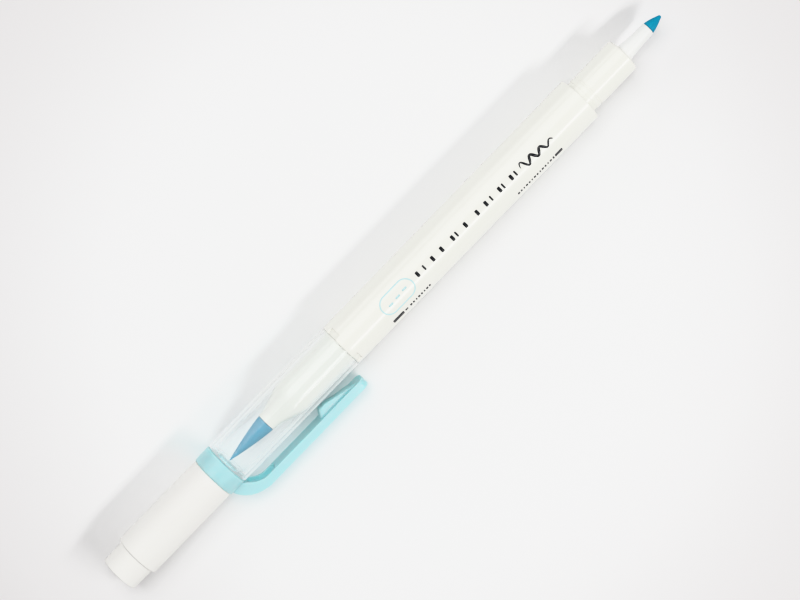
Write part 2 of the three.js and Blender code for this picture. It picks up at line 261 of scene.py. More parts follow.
# Distance from the rim and radius, along the rim and the cone behind it.
NOSE_PROFILE = (
    (0, 2.25), (0.9, 2.25), (1.9, 2.4), (3.0, 2.74), (4.0, 3.1), (5.0, 3.45), (5.8, 3.74), (6.6, 3.99),
    (7.3, 4.15), (7.9, 4.24), (8.8, 4.32), (9.9, NOSE_RADIUS),
)
PLUG_RADIUS = 4.4
PLUG_FRONT = BARREL_REAR + NOTCH_LENGTH + 0.1
NECK_REAR = BARREL_REAR + 0.05
NECK_RADIUS = 5.0

nose_shape = turned([
    *[[NOSE_FRONT + distance, radius] for distance, radius in NOSE_PROFILE],
    [NECK_REAR, NOSE_RADIUS],
    [NECK_REAR, NECK_RADIUS],
    [PLUG_FRONT, NECK_RADIUS],
    [PLUG_FRONT, PLUG_RADIUS],
    [NOSE_REAR, PLUG_RADIUS],
    [NOSE_REAR, NOSE_BORE],
    [NOSE_FRONT, NOSE_BORE],
], steps=96, closed=True)
place_on_pen(nose_shape)
nose = add_piece("brush_end_nose", nose_shape, glossy_polypropylene)
soften_edges(nose, width=0.1)
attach(nose, "barrel")
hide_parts("brush_section")

# Nylon fibres bonded side by side: matt, porous and dark with ink. The fibres of 0.04 mm are drawn
# 0.16 mm across, so that they show as streaks that run to the point.
inked_nib = new_material("ink_soaked_bonded_fibre")
place = add_node(inked_nib, "TexCoord")
along = add_node(inked_nib, "Mapping", {"Vector": place.outputs["Object"], "Scale": (0.06, 1, 1)})
strands = add_node(inked_nib, "TexNoise", {
    "Vector": along.outputs[0], "Scale": feature(0.16), "Detail": 4.0, "Roughness": 0.6,
})
pores = add_node(inked_nib, "TexNoise", {
    "Vector": place.outputs["Object"], "Scale": feature(0.3), "Detail": 2.0,
})
fibre_mix = add_node(inked_nib, "Math", {0: strands.outputs[0], 1: pores.outputs[0]}, operation="MULTIPLY")
ink_depth = add_node(inked_nib, "MapRange", {
    "Value": fibre_mix.outputs[0], "From Min": 0.12, "From Max": 0.42,
})
ink = add_node(inked_nib, "Mix", {
    0: ink_depth.outputs[0], 6: linear("#007a9a"), 7: linear("#0093b4"),
}, data_type="RGBA")
relief = add_node(inked_nib, "Bump", {
    "Height": fibre_mix.outputs[0], "Strength": 0.5, "Distance": 0.05 * MM,
})
surface = add_node(inked_nib, "BsdfPrincipled", {
    "Base Color": ink.outputs[2], "Roughness": 0.62, "Normal": relief.outputs[0],
})
add_node(inked_nib, "OutputMaterial", {"Surface": surface.outputs[0]})

SHOULDER_GAP = 0.1
NIB_FULLNESS = 1.35
NIB_STEPS = 20


def nib_outline(point, base, radius, end_radius, rod_end, rod_radius):
    """From the rounded point back to the shoulder, and along the rod that reaches the reservoir."""
    forwards = 1 if base > point else -1
    start = point + forwards * end_radius
    outline = [
        [start - forwards * end_radius * math.cos(turn), end_radius * math.sin(turn)]
        for turn in (0, math.pi / 8, math.pi / 4, 3 * math.pi / 8)
    ]
    for i in range(NIB_STEPS + 1):
        along_head = 1 - i / NIB_STEPS
        belly = 1 - along_head ** NIB_FULLNESS
        outline.append([base + (start - base) * along_head, end_radius + (radius - end_radius) * belly])
    return outline + [[base, rod_radius], [rod_end, rod_radius], [rod_end, 0]]


brush_low, brush_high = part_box("brush_nib")
brush_nib_shape = turned(nib_outline(
    point=(brush_low.x - TAIL_X) / MM, base=NOSE_FRONT - SHOULDER_GAP, radius=2.1, end_radius=0.12,
    rod_end=(brush_high.x - TAIL_X) / MM, rod_radius=1.2,
), steps=64)
place_on_pen(brush_nib_shape)
brush_nib = add_piece("brush_end_nib", brush_nib_shape, inked_nib)
soften_edges(brush_nib, width=0.08)
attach(brush_nib, "barrel")
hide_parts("brush_nib")

# ---------------------------------------------------------------------------------------------------
# Fine end: section, nib holder and nib
# The section is glossy white polypropylene, pressed into the barrel. A groove and a narrow band stand
# behind its collar, and a translucent holder in its bore carries a short nib of bonded fibre.
# ---------------------------------------------------------------------------------------------------

SECTION_REAR = (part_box("fine_section")[0].x - TAIL_X) / MM
COLLAR_FRONT = (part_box("fine_section")[1].x - TAIL_X) / MM
COLLAR_RADIUS = 4.15
COLLAR_CHAMFER = 0.3
GROOVE_REAR = BARREL_FRONT - 0.2
GROOVE_RADIUS = 4.06
BAND_REAR = 144.7
BAND_FRONT = 145.85
HAIRLINE_WIDTH = 0.35
HAIRLINE_RADIUS = COLLAR_RADIUS - 0.12
SOCKET_REAR = 149
SOCKET_RADIUS = 2.3
SECTION_BORE = 1.3

section_shape = turned([
    [SECTION_REAR, PLUG_RADIUS],
    [GROOVE_REAR, PLUG_RADIUS],
    [GROOVE_REAR, GROOVE_RADIUS],
    [BAND_REAR, GROOVE_RADIUS],
    [BAND_REAR, COLLAR_RADIUS],
    [BAND_FRONT, COLLAR_RADIUS],
    [BAND_FRONT, HAIRLINE_RADIUS],
    [BAND_FRONT + HAIRLINE_WIDTH, HAIRLINE_RADIUS],
    [BAND_FRONT + HAIRLINE_WIDTH, COLLAR_RADIUS],
    [COLLAR_FRONT - COLLAR_CHAMFER, COLLAR_RADIUS],
    [COLLAR_FRONT, COLLAR_RADIUS - COLLAR_CHAMFER],
    [COLLAR_FRONT, SOCKET_RADIUS],
    [SOCKET_REAR, SOCKET_RADIUS],
    [SOCKET_REAR, SECTION_BORE],
    [SECTION_REAR, SECTION_BORE],
], steps=120, closed=True)
place_on_pen(section_shape)
section = add_piece("fine_end_section", section_shape, glossy_polypropylene)
soften_edges(section, width=0.06)
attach(section, "barrel")
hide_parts("fine_section")

# Polypropylene without pigment: milky and translucent, a little grey where ink stands behind it.
natural_polypropylene = new_material("natural_polypropylene")
place = add_node(natural_polypropylene, "TexCoord")
haze = add_node(natural_polypropylene, "TexNoise", {
    "Vector": place.outputs["Object"], "Scale": feature(2.5), "Detail": 2.0,
})
milk = add_node(natural_polypropylene, "Mix", {
    0: haze.outputs[0], 6: linear("#e3e4e3"), 7: linear("#ecece9"),
}, data_type="RGBA")
sheen = add_node(natural_polypropylene, "MapRange", {
    "Value": haze.outputs[0], "To Min": 0.28, "To Max": 0.4,
})
surface = add_node(natural_polypropylene, "BsdfPrincipled", {
    "Base Color": milk.outputs[2], "Roughness": sheen.outputs[0], "IOR": 1.49,
    "Subsurface Weight": 0.5, "Subsurface Radius": (1.0, 1.0, 1.0), "Subsurface Scale": 0.8 * MM,
})
add_node(natural_polypropylene, "OutputMaterial", {"Surface": surface.outputs[0]})

HOLDER_REAR = (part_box("fine_nib_holder")[0].x - TAIL_X) / MM
HOLDER_FRONT = (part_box("fine_nib_holder")[1].x - TAIL_X) / MM
HOLDER_BORE = 1.2
HOLDER_RADIUS = 2.05

holder_shape = turned([
    [HOLDER_REAR, HOLDER_RADIUS],
    [COLLAR_FRONT + 0.4, HOLDER_RADIUS],
    [COLLAR_FRONT + 2.6, 1.8],
    [HOLDER_FRONT - 3.0, 1.62],
    [HOLDER_FRONT, 1.55],
    [HOLDER_FRONT, HOLDER_BORE],
    [HOLDER_REAR, HOLDER_BORE],
], steps=64, closed=True)
place_on_pen(holder_shape)
holder = add_piece("fine_end_holder", holder_shape, natural_polypropylene)
soften_edges(holder, width=0.08)
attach(holder, "barrel")
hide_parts("fine_nib_holder")

fine_low, fine_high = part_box("fine_nib")
fine_nib_shape = turned(nib_outline(
    point=(fine_high.x - TAIL_X) / MM, base=HOLDER_FRONT + SHOULDER_GAP, radius=1.47, end_radius=0.45,
    rod_end=(fine_low.x - TAIL_X) / MM, rod_radius=1.0,
), steps=64)
place_on_pen(fine_nib_shape)
fine_nib = add_piece("fine_end_nib", fine_nib_shape, inked_nib)
soften_edges(fine_nib, width=0.06)
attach(fine_nib, "barrel")
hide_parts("fine_nib")

# ---------------------------------------------------------------------------------------------------
# Printing on the barrel
# Pad printing: a thin film of ink. A row of plain marks and a brush stroke are dark, and a rounded
# outline is pale aqua. Lower down, a heavy bar and a row of dashes stand towards each end.
# ---------------------------------------------------------------------------------------------------

INK_FILM = 0.02
INK_RADIUS = BARREL_RADIUS + 0.8 * INK_FILM
BAR_SLICE = 0.2


def wrap_on_barrel(shape, station, angle):
    """Lays a flat drawing on the barrel: X runs along the pen, and Y round it towards the far side."""
    for corner in shape.verts:
        turn = angle - corner.co.y / INK_RADIUS
        corner.co = (station + corner.co.x, -INK_RADIUS * math.sin(turn), INK_RADIUS * math.cos(turn))


def add_bar(drawing, x, y, length, height, corner_round=0.1):
    """A bar with rounded corners, cut across so that it can follow the barrel."""
    slices = max(2, round(height / BAR_SLICE))
    made = bmesh.ops.create_grid(drawing, x_segments=1, y_segments=slices, size=0.5)
    bmesh.ops.scale(drawing, vec=(length, height, 1), verts=made["verts"])
    corners = [v for v in made["verts"] if len(v.link_edges) == 2 and abs(v.co.y) > height * 0.49]
    bmesh.ops.translate(drawing, vec=(x, y, 0), verts=made["verts"])
    bmesh.ops.bevel(
        drawing, geom=corners, offset=corner_round, segments=3, profile=0.5, affect="VERTICES",
        material=-1, clamp_overlap=True,
    )


def add_print(name, drawing, station, angle, material):
    wrap_on_barrel(drawing, station, angle)
    place_on_pen(drawing)
    printed = add_piece(name, drawing, material)
    film = printed.modifiers.new("ink_film", "SOLIDIFY")
    film.thickness = INK_FILM * MM
    film.offset = -1
    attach(printed, "barrel")
    return printed


# Solvent ink with carbon black: satin, and a little thin where the pad's silicone lifts it.
dark_ink = new_material("dark_printing_ink")
place = add_node(dark_ink, "TexCoord")
lift = add_node(dark_ink, "TexNoise", {"Vector": place.outputs["Object"], "Scale": feature(0.5)})
cover = add_node(dark_ink, "Mix", {
    0: lift.outputs[0], 6: linear("#18191b"), 7: linear("#2b2d30"),
}, data_type="RGBA")
surface = add_node(dark_ink, "BsdfPrincipled", {"Base Color": cover.outputs[2], "Roughness": 0.32})
add_node(dark_ink, "OutputMaterial", {"Surface": surface.outputs[0]})

# The same kind of ink in pale aqua, thin enough for the white to lighten it.
aqua_ink = new_material("aqua_printing_ink")
place = add_node(aqua_ink, "TexCoord")
lift = add_node(aqua_ink, "TexNoise", {"Vector": place.outputs["Object"], "Scale": feature(0.5)})
cover = add_node(aqua_ink, "Mix", {
    0: lift.outputs[0], 6: linear("#afd4d7"), 7: linear("#c3dfe1"),
}, data_type="RGBA")
surface = add_node(aqua_ink, "BsdfPrincipled", {"Base Color": cover.outputs[2], "Roughness": 0.32})
add_node(aqua_ink, "OutputMaterial", {"Surface": surface.outputs[0]})

MARK_ANGLE = math.radians(16)
SIDE_ANGLE = math.radians(60)
MARK_HEIGHT = 1.4
MARK_RISE = 0.3
FIRST_MARK = 91.7
THICK_MARK = 0.75
THIN_MARK = 0.45
THICK_MARKS = (0, 4.65, 7.45, 10.8, 14.75, 18.4, 21.1, 25.3, 28.9)
THIN_MARKS = (2.0, 12.0, 22.7, 26.4, 30.2)

marks = bmesh.new()
for x in THICK_MARKS:
    add_bar(marks, x, MARK_RISE, THICK_MARK, MARK_HEIGHT, corner_round=0.25)
for x in THIN_MARKS:
    add_bar(marks, x, MARK_RISE, THIN_MARK, MARK_HEIGHT, corner_round=0.2)
add_print("printed_row_of_marks", marks, FIRST_MARK, MARK_ANGLE, dark_ink)

STROKE_START = 123.4
STROKE_LENGTH = 9.5
STROKE_HEIGHT = 1.0
STROKE_WAVES = 3.5
STROKE_STEPS = 90
STROKE_RISE = 0.35
STROKE_FALL = 0.6
STROKE_END = 0.05
STROKE_THIN = 0.1
STROKE_SWELL = 0.26

stroke = bmesh.new()
ends = [stroke.verts.new((0, side, 0)) for side in (-STROKE_END, STROKE_END)]
edge = stroke.edges.new(ends)
for i in range(1, STROKE_STEPS + 1):
    share = i / STROKE_STEPS
    grown = bmesh.ops.extrude_edge_only(stroke, edges=[edge])["geom"]
    phase = STROKE_WAVES * math.tau * share
    sway = STROKE_HEIGHT * math.sin(phase) * (1 - 0.5 * share)
    centre = Vector((STROKE_LENGTH * share, STROKE_RISE - STROKE_FALL * share + sway, 0))
    heading = Vector((STROKE_LENGTH, STROKE_HEIGHT * STROKE_WAVES * math.tau * math.cos(phase), 0))
    across = Vector((-heading.y, heading.x, 0)).normalized()
    press = math.sin(math.pi * share) ** 0.6 * (0.6 + 0.4 * abs(math.cos(phase)))
    half = STROKE_THIN + STROKE_SWELL * press
    edge = next(e for e in grown if isinstance(e, bmesh.types.BMEdge))
    lower, upper = sorted((v for v in grown if isinstance(v, bmesh.types.BMVert)), key=lambda v: v.index)
    lower.co = centre - across * half
    upper.co = centre + across * half
bmesh.ops.recalc_face_normals(stroke, faces=stroke.faces)
add_print("printed_brush_stroke", stroke, STROKE_START, MARK_ANGLE, dark_ink)

OUTLINE_CENTRE = 85.25
OUTLINE_HALF_LENGTH = 4.7
OUTLINE_RADIUS = 2.4
OUTLINE_LINE = 0.3
OUTLINE_SIDES = 48
DASH_PITCH = 2.2
DASH_RISE = 0.2

outline = bmesh.new()
rim = bmesh.ops.create_circle(outline, segments=OUTLINE_SIDES, radius=OUTLINE_RADIUS)["verts"]
half_side = Matrix.Rotation(math.tau / (2 * OUTLINE_SIDES), 3, "Z")
bmesh.ops.rotate(outline, cent=(0, 0, 0), matrix=half_side, verts=rim)
inner_rim = [
    v for v in bmesh.ops.extrude_edge_only(outline, edges=outline.edges[:])["geom"]
    if isinstance(v, bmesh.types.BMVert)
]
inset = (OUTLINE_RADIUS - OUTLINE_LINE) / OUTLINE_RADIUS
bmesh.ops.scale(outline, vec=(inset, inset, 1), verts=inner_rim)
for corner in outline.verts:
    corner.co.x += math.copysign(OUTLINE_HALF_LENGTH - OUTLINE_RADIUS, corner.co.x)
for i in (-1, 0, 1):
    add_bar(outline, i * DASH_PITCH, i * DASH_RISE, length=1.3, height=0.45, corner_round=0.2)
for face in outline.faces:
    if face.normal.z < 0:
        face.normal_flip()
add_print("printed_outline", outline, OUTLINE_CENTRE, MARK_ANGLE, aqua_ink)

SIGNS_START = 80.65
SIGN_PITCH = 0.82
SIGN_LENGTHS = (0.58, 0.46, 0.34)


def add_dashes(drawing, start, count, height):
    """A row of dashes at an even pitch, in three lengths by turns."""
    for i in range(count):
        length = SIGN_LENGTHS[i % len(SIGN_LENGTHS)]
        add_bar(drawing, start + SIGN_PITCH * i, 0, length, height, corner_round=0.15)


end_signs = bmesh.new()
add_bar(end_signs, 1.7, 0, length=3.2, height=1.1, corner_round=0.3)
add_bar(end_signs, 4.1, 0, length=0.8, height=0.6)
add_dashes(end_signs, start=5.5, count=8, height=0.75)
add_dashes(end_signs, start=38.9, count=13, height=0.7)
add_bar(end_signs, 49.6, 0, length=0.4, height=0.9)
add_bar(end_signs, 51.2, 0, length=2.2, height=1.0, corner_round=0.3)
add_print("printed_end_signs", end_signs, SIGNS_START, SIDE_ANGLE, dark_ink)

# ---------------------------------------------------------------------------------------------------
# Clear cap
# The shell over the brush nib is clear polystyrene. Fine flutes run along the inside of its wall and
# stop short of a plain band at the mouth. Its end wall has a hole for the ring's spigot.
# ---------------------------------------------------------------------------------------------------

CAP_REAR = (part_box("brush_cap")[0].x - TAIL_X) / MM
CAP_MOUTH = (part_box("brush_cap")[1].x - TAIL_X) / MM
CAP_RADIUS = 5.48
CAP_BORE = 4.65
CAP_END_WALL = 0.9
CAP_HOLE = 3.0
FLUTE_COUNT = 40
FLUTE_DEPTH = 0.006
FLUTE_STEPS = 8
CAP_FLOOR = CAP_REAR + CAP_END_WALL
FLUTES_REAR = CAP_FLOOR + 0.3
FLUTES_FRONT = 63.9
FLUTES_FADE = 0.5

clear_shape = turned([
    [CAP_REAR, CAP_HOLE],
    [CAP_REAR, CAP_RADIUS],
    [CAP_MOUTH, CAP_RADIUS],
    [CAP_MOUTH, CAP_BORE],
    [FLUTES_FRONT + FLUTES_FADE, CAP_BORE],
    [FLUTES_FRONT, CAP_BORE],
    [FLUTES_REAR, CAP_BORE],
    [CAP_FLOOR, CAP_BORE],
    [CAP_FLOOR, CAP_HOLE],
], steps=FLUTE_COUNT * FLUTE_STEPS, closed=True)
for corner in clear_shape.verts:
    on_flutes = FLUTES_REAR - NEAR < corner.co.x < FLUTES_FRONT + NEAR
    if on_flutes and math.hypot(corner.co.y, corner.co.z) < CAP_BORE + NEAR:
        wave = math.cos(FLUTE_COUNT * math.atan2(corner.co.z, corner.co.y))
        depth = FLUTE_DEPTH * (0.5 + 0.5 * wave) / CAP_BORE
        corner.co.y *= 1 + depth
        corner.co.z *= 1 + depth
place_on_pen(clear_shape)

# Polystyrene lets nearly all light through. The wall is thin and even, so light hardly shifts in crossing
# it, and an index of 1 stands for that; at a slant the wall looks thicker and hazier. The outer skin has
# a soft gloss. Light that falls on what is inside comes straight through.
clear_polystyrene = new_material("clear_polystyrene")
place = add_node(clear_polystyrene, "TexCoord")
drift = add_node(clear_polystyrene, "TexNoise", {
    "Vector": place.outputs["Object"], "Scale": feature(4), "Detail": 2.0,
})
haze = add_node(clear_polystyrene, "MapRange", {"Value": drift.outputs[0], "To Min": 0.01, "To Max": 0.02})
facing = add_node(clear_polystyrene, "LayerWeight")
clarity = add_node(clear_polystyrene, "MapRange", {
    "Value": facing.outputs["Facing"], "From Min": 0.3, "From Max": 0.8, "To Min": 0.93, "To Max": 0.45,
})
surface = add_node(clear_polystyrene, "BsdfPrincipled", {
    "Base Color": linear("#ffffff"), "Roughness": haze.outputs[0], "IOR": 1.0,
    "Transmission Weight": clarity.outputs[0], "Coat Weight": 0.22, "Coat Roughness": 0.08,
})
rays = add_node(clear_polystyrene, "LightPath")
lit_through = add_node(clear_polystyrene, "Math", {
    0: rays.outputs["Is Shadow Ray"], 1: rays.outputs["Is Diffuse Ray"],
}, operation="MAXIMUM")
open_way = add_node(clear_polystyrene, "BsdfTransparent", {"Color": linear("#f7f9f9")})
shell = add_node(clear_polystyrene, "MixShader", {
    0: lit_through.outputs[0], 1: surface.outputs[0], 2: open_way.outputs[0],
})
add_node(clear_polystyrene, "OutputMaterial", {"Surface": shell.outputs[0]})

clear_cap = add_piece("clear_cap_shell", clear_shape, clear_polystyrene)
soften_edges(clear_cap, width=0.12)
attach(clear_cap, "brush_cap")
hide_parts("brush_cap")

# ---------------------------------------------------------------------------------------------------
# Ring, post and clip
# One moulding of aqua polypropylene. A spigot holds it in the clear cap's end wall, the hollow post
# behind the ring takes the white cap, and the clip springs from the ring in an arch.
# ---------------------------------------------------------------------------------------------------

POST_END = (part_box("clip_ring")[0].x - TAIL_X) / MM
RING_REAR = 29.35
RING_FRONT = 33.4
RING_RADIUS = 5.45
RING_ROUND = 0.3
POST_RADIUS = 4.15
POST_BORE = 3.1
POST_FLOOR = RING_REAR + 1.0
SPIGOT_RADIUS = 2.8
SPIGOT_FRONT = 34.0
CLIP_DROOP = math.radians(20.5)
CLIP_WIDTH = 4
CLIP_OUTER = 10.25
CLIP_INNER = 8.2
CLIP_END = (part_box("clip_arm")[1].x - TAIL_X) / MM
CLIP_CORNER = 1.5
CLIP_ROOT = 33.0
ROOT_HEIGHT = 3
ROOT_TOP = 5.2
CLIP_EDGE_ROUND = 0.28
RING_EDGE_ROUND = 0.22
CROWN_END = 63.7
CROWN_HEIGHT = 9.4
CROWN_DROP = 0.055
ARCH_START = (33.6, 5.85)
ARCH_KNEE = (35.6, CLIP_INNER)
ARCH_END = 37.95
OUTER_ARCH_KNEE = (30.3, 9.6)
OUTER_ARCH_END = 37.0
PAD_WIDTH = 2.4
PAD_ROUND = 1.0
PAD_FOOT = 8.5
# The pad's side view in stations and heights, which point along -Y: up from the arm, over the crest and
# down to the arm again near its tip.
PAD_SIDE_VIEW = (
    (54.35, -8.6), (54.45, -8.1), (55.4, -6.55), (56.1, -6.3), (57.5, -6.3), (60.5, -7.1), (66.2, -8.15),
    (66.3, -8.6),
)
SLOT_REAR = 33.65
SLOT_FRONT = 40.25
SLOT_DEPTH = 9.5
SLOT_MOUTH = 5.0
SLOT_WIDTH = 2.8
SLOT_ROUND = SLOT_WIDTH / 2 - 0.02
CURVE_POINTS = 20


def curve(start, knee, end):
    """Points of a curve that leaves start towards knee and reaches end from it."""
    start, knee, end = (Vector((station, -height, 0)) for station, height in (start, knee, end))
    return interpolate_bezier(start, start.lerp(knee, 2 / 3), end.lerp(knee, 2 / 3), end, CURVE_POINTS)


def clip_slab(side_view, width):
    """A side view with a thickness across the clip."""
    shape = bmesh.new()
    side = shape.faces.new([shape.verts.new((point[0], point[1], -width / 2)) for point in side_view])
    grown = bmesh.ops.extrude_face_region(shape, geom=[side])["geom"]
    moved = [v for v in grown if isinstance(v, bmesh.types.BMVert)]
    bmesh.ops.translate(shape, vec=(0, 0, width), verts=moved)
    bmesh.ops.recalc_face_normals(shape, faces=shape.faces)
    return shape


def round_edges(shape, edges, offset, segments):
    bmesh.ops.bevel(
        shape, geom=edges, offset=offset, segments=segments, profile=0.5, affect="EDGES",
        material=-1, clamp_overlap=True,
    )


def sharp_edges(shape):
    return [e for e in shape.edges if len(e.link_faces) == 2 and e.calc_face_angle(0) > SHARP]


def upright_edges(shape, station):
    """Edges across the clip's thickness at its end."""
    return [
        e for e in shape.edges
        if all(abs(v.co.x - station) < NEAR for v in e.verts)
        and abs(e.verts[0].co.z - e.verts[1].co.z) < NEAR
    ]


def turn_to_droop(shape):
    """Turns the clip from straight sideways to its rest on the table."""
    turn = Matrix.Rotation(CLIP_DROOP, 3, "X")
    bmesh.ops.rotate(shape, cent=(0, 0, 0), matrix=turn, verts=shape.verts)
    place_on_pen(shape)


clip_shape = clip_slab(
    curve((RING_REAR, ROOT_HEIGHT), OUTER_ARCH_KNEE, (OUTER_ARCH_END, CLIP_OUTER))
    + [(CLIP_END, -CLIP_OUTER), (CLIP_END, -CLIP_INNER)]
    + curve((ARCH_END, CLIP_INNER), ARCH_KNEE, ARCH_START)
    + [(CLIP_ROOT, -ROOT_TOP), (CLIP_ROOT, -ROOT_HEIGHT)],
    CLIP_WIDTH,
)
round_edges(clip_shape, upright_edges(clip_shape, CLIP_END), CLIP_CORNER, segments=8)
for place, along in (
    ((ARCH_END, 0, 0), (1, 0, 0)),
    ((CROWN_END, 0, 0), (1, 0, 0)),
    ((0, -CROWN_HEIGHT, 0), (0, 1, 0)),
):
    bmesh.ops.bisect_plane(
        clip_shape, geom=clip_shape.verts[:] + clip_shape.edges[:] + clip_shape.faces[:],
        plane_co=place, plane_no=along, dist=1e-5,
    )
for corner in clip_shape.verts:
    if corner.co.y < NEAR - CLIP_OUTER and ARCH_END - NEAR < corner.co.x < CROWN_END + NEAR:
        corner.co.z -= math.copysign(CROWN_DROP, corner.co.z)
round_edges(clip_shape, sharp_edges(clip_shape), CLIP_EDGE_ROUND, segments=3)
turn_to_droop(clip_shape)

pad_shape = clip_slab(PAD_SIDE_VIEW, PAD_WIDTH)
pad_sides = [e for e in pad_shape.edges if abs(e.verts[0].co.z - e.verts[1].co.z) < NEAR]
pad_rims = [e for e in pad_sides if max(v.co.y for v in e.verts) > -PAD_FOOT]
round_edges(pad_shape, pad_rims, PAD_ROUND, segments=5)
turn_to_droop(pad_shape)

slot_shape = clip_slab(
    curve((SLOT_REAR, 7.7), (35.85, 9.4), (38.5, SLOT_DEPTH))
    + [(SLOT_FRONT, -SLOT_DEPTH), (SLOT_FRONT, -SLOT_MOUTH), (SLOT_REAR, -SLOT_MOUTH)],
    SLOT_WIDTH,
)
round_edges(slot_shape, upright_edges(slot_shape, SLOT_FRONT), SLOT_ROUND, segments=8)
turn_to_droop(slot_shape)

ring_shape = turned([
    [POST_FLOOR, 0],
    [POST_FLOOR, POST_BORE],
    [POST_END, POST_BORE],
    [POST_END, POST_RADIUS],
    [RING_REAR, POST_RADIUS],
    *[
        [RING_REAR + RING_ROUND * (1 - math.cos(turn)), RING_RADIUS - RING_ROUND * (1 - math.sin(turn))]
        for turn in (i * math.pi / 12 for i in range(7))
    ],
    [RING_FRONT, RING_RADIUS],
    [RING_FRONT, SPIGOT_RADIUS],
    [SPIGOT_FRONT, SPIGOT_RADIUS],
    [SPIGOT_FRONT, 0],
], steps=120)
round_edges(ring_shape, sharp_edges(ring_shape), RING_EDGE_ROUND, segments=3)
place_on_pen(ring_shape)

# Polypropylene with a little aqua pigment, from a polished mould: glossy, and light spreads some way
# inside it. Part of the light that meets it goes through tinted, so its shadow is a pale aqua. The gloss
# ripples slowly, as on the barrel.
LIGHT_LET_THROUGH = 0.64
aqua_polypropylene = new_material("moulded_aqua_polypropylene")
place = add_node(aqua_polypropylene, "TexCoord")
flow = add_node(aqua_polypropylene, "TexNoise", {
    "Vector": place.outputs["Object"], "Scale": feature(6), "Detail": 3.0,
})
pigment = add_node(aqua_polypropylene, "Mix", {
    0: flow.outputs[0], 6: linear("#a2cace"), 7: linear("#aad0d4"),
}, data_type="RGBA")
gloss = add_node(aqua_polypropylene, "MapRange", {
    "Value": flow.outputs[0], "From Min": 0.3, "From Max": 0.7, "To Min": 0.32, "To Max": 0.42,
})
ripple = add_node(aqua_polypropylene, "TexNoise", {
    "Vector": place.outputs["Object"], "Scale": feature(1.2), "Detail": 2.0,
})
skin = add_node(aqua_polypropylene, "Bump", {
    "Height": ripple.outputs[0], "Strength": 0.25, "Distance": 0.012 * MM,
})
surface = add_node(aqua_polypropylene, "BsdfPrincipled", {
    "Base Color": pigment.outputs[2], "Roughness": gloss.outputs[0], "Normal": skin.outputs[0],
    "IOR": 1.49, "Subsurface Weight": 0.85, "Subsurface Radius": (0.45, 1.0, 1.0),
    "Subsurface Scale": 2.5 * MM,
})
rays = add_node(aqua_polypropylene, "LightPath")
let_through = add_node(aqua_polypropylene, "Math", {
    0: rays.outputs["Is Shadow Ray"], 1: LIGHT_LET_THROUGH,
}, operation="MULTIPLY")
tinted_light = add_node(aqua_polypropylene, "BsdfTransparent", {"Color": linear("#b4e6ea")})
moulding = add_node(aqua_polypropylene, "MixShader", {
    0: let_through.outputs[0], 1: surface.outputs[0], 2: tinted_light.outputs[0],
})
add_node(aqua_polypropylene, "OutputMaterial", {"Surface": moulding.outputs[0]})

clip = add_piece("clip_moulding", clip_shape, aqua_polypropylene)
slot_core = add_piece("slot_core", slot_shape, aqua_polypropylene)
pad = add_piece("pad", pad_shape, aqua_polypropylene)
ring = add_piece("ring", ring_shape, aqua_polypropylene)
for other, operation in ((slot_core, "DIFFERENCE"), (pad, "UNION"), (ring, "UNION")):
    joining = clip.modifiers.new(other.name, "BOOLEAN")
    joining.operation = operation
    joining.solver = "EXACT"
    joining.object = other
joined = bpy.data.meshes.new_from_object(clip.evaluated_get(bpy.context.evaluated_depsgraph_get()))
clip.modifiers.clear()
clip.data = joined
joined.name = "clip_moulding"
for other in (slot_core, pad, ring):
    bpy.data.objects.remove(other)
joined.shade_smooth()
joined.set_sharp_from_angle(angle=SHARP)
clip.modifiers.new("even_shading", "WEIGHTED_NORMAL").keep_sharp = True
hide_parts("clip_ring", "clip_arm")
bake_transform(clip)

# ---------------------------------------------------------------------------------------------------
# White cap of the fine end
# Polypropylene with a satin finish from a sand-blasted mould, pushed onto the post. It steps down to a
# stub at its closed end, and a translucent liner inside seals round the fine nib.
# ---------------------------------------------------------------------------------------------------

JOINT_LINE = 0.03
WHITE_CAP_MOUTH = RING_REAR - JOINT_LINE
WHITE_CAP_RADIUS = 5.25
WHITE_CAP_BORE = 4.35
WHITE_CAP_STEP = 0.2
WHITE_CAP_END_WALL = 1.2
STUB_END = 5.6
STUB_RADIUS = 4.55
STUB_TAPER = 0.1
STUB_BORE = 3.6

# The blasted mould leaves grains of about 0.05 mm, drawn 0.2 mm across: they spread the gloss to satin.
satin_polypropylene = new_material("satin_white_polypropylene")
place = add_node(satin_polypropylene, "TexCoord")
flow = add_node(satin_polypropylene, "TexNoise", {
    "Vector": place.outputs["Object"], "Scale": feature(7), "Detail": 3.0,
})
tone = add_node(satin_polypropylene, "Mix", {
    0: flow.outputs[0], 6: linear("#dfdeda"), 7: linear("#e4e3e0"),
}, data_type="RGBA")
grain = add_node(satin_polypropylene, "TexNoise", {
    "Vector": place.outputs["Object"], "Scale": feature(0.2), "Detail": 2.0,
})
gloss = add_node(satin_polypropylene, "MapRange", {
    "Value": grain.outputs[0], "To Min": 0.46, "To Max": 0.6,
})
skin = add_node(satin_polypropylene, "Bump", {
    "Height": grain.outputs[0], "Strength": 0.3, "Distance": 0.015 * MM,
})
surface = add_node(satin_polypropylene, "BsdfPrincipled", {
    "Base Color": tone.outputs[2], "Roughness": gloss.outputs[0], "Normal": skin.outputs[0],
    "IOR": 1.49,
})
add_node(satin_polypropylene, "OutputMaterial", {"Surface": surface.outputs[0]})

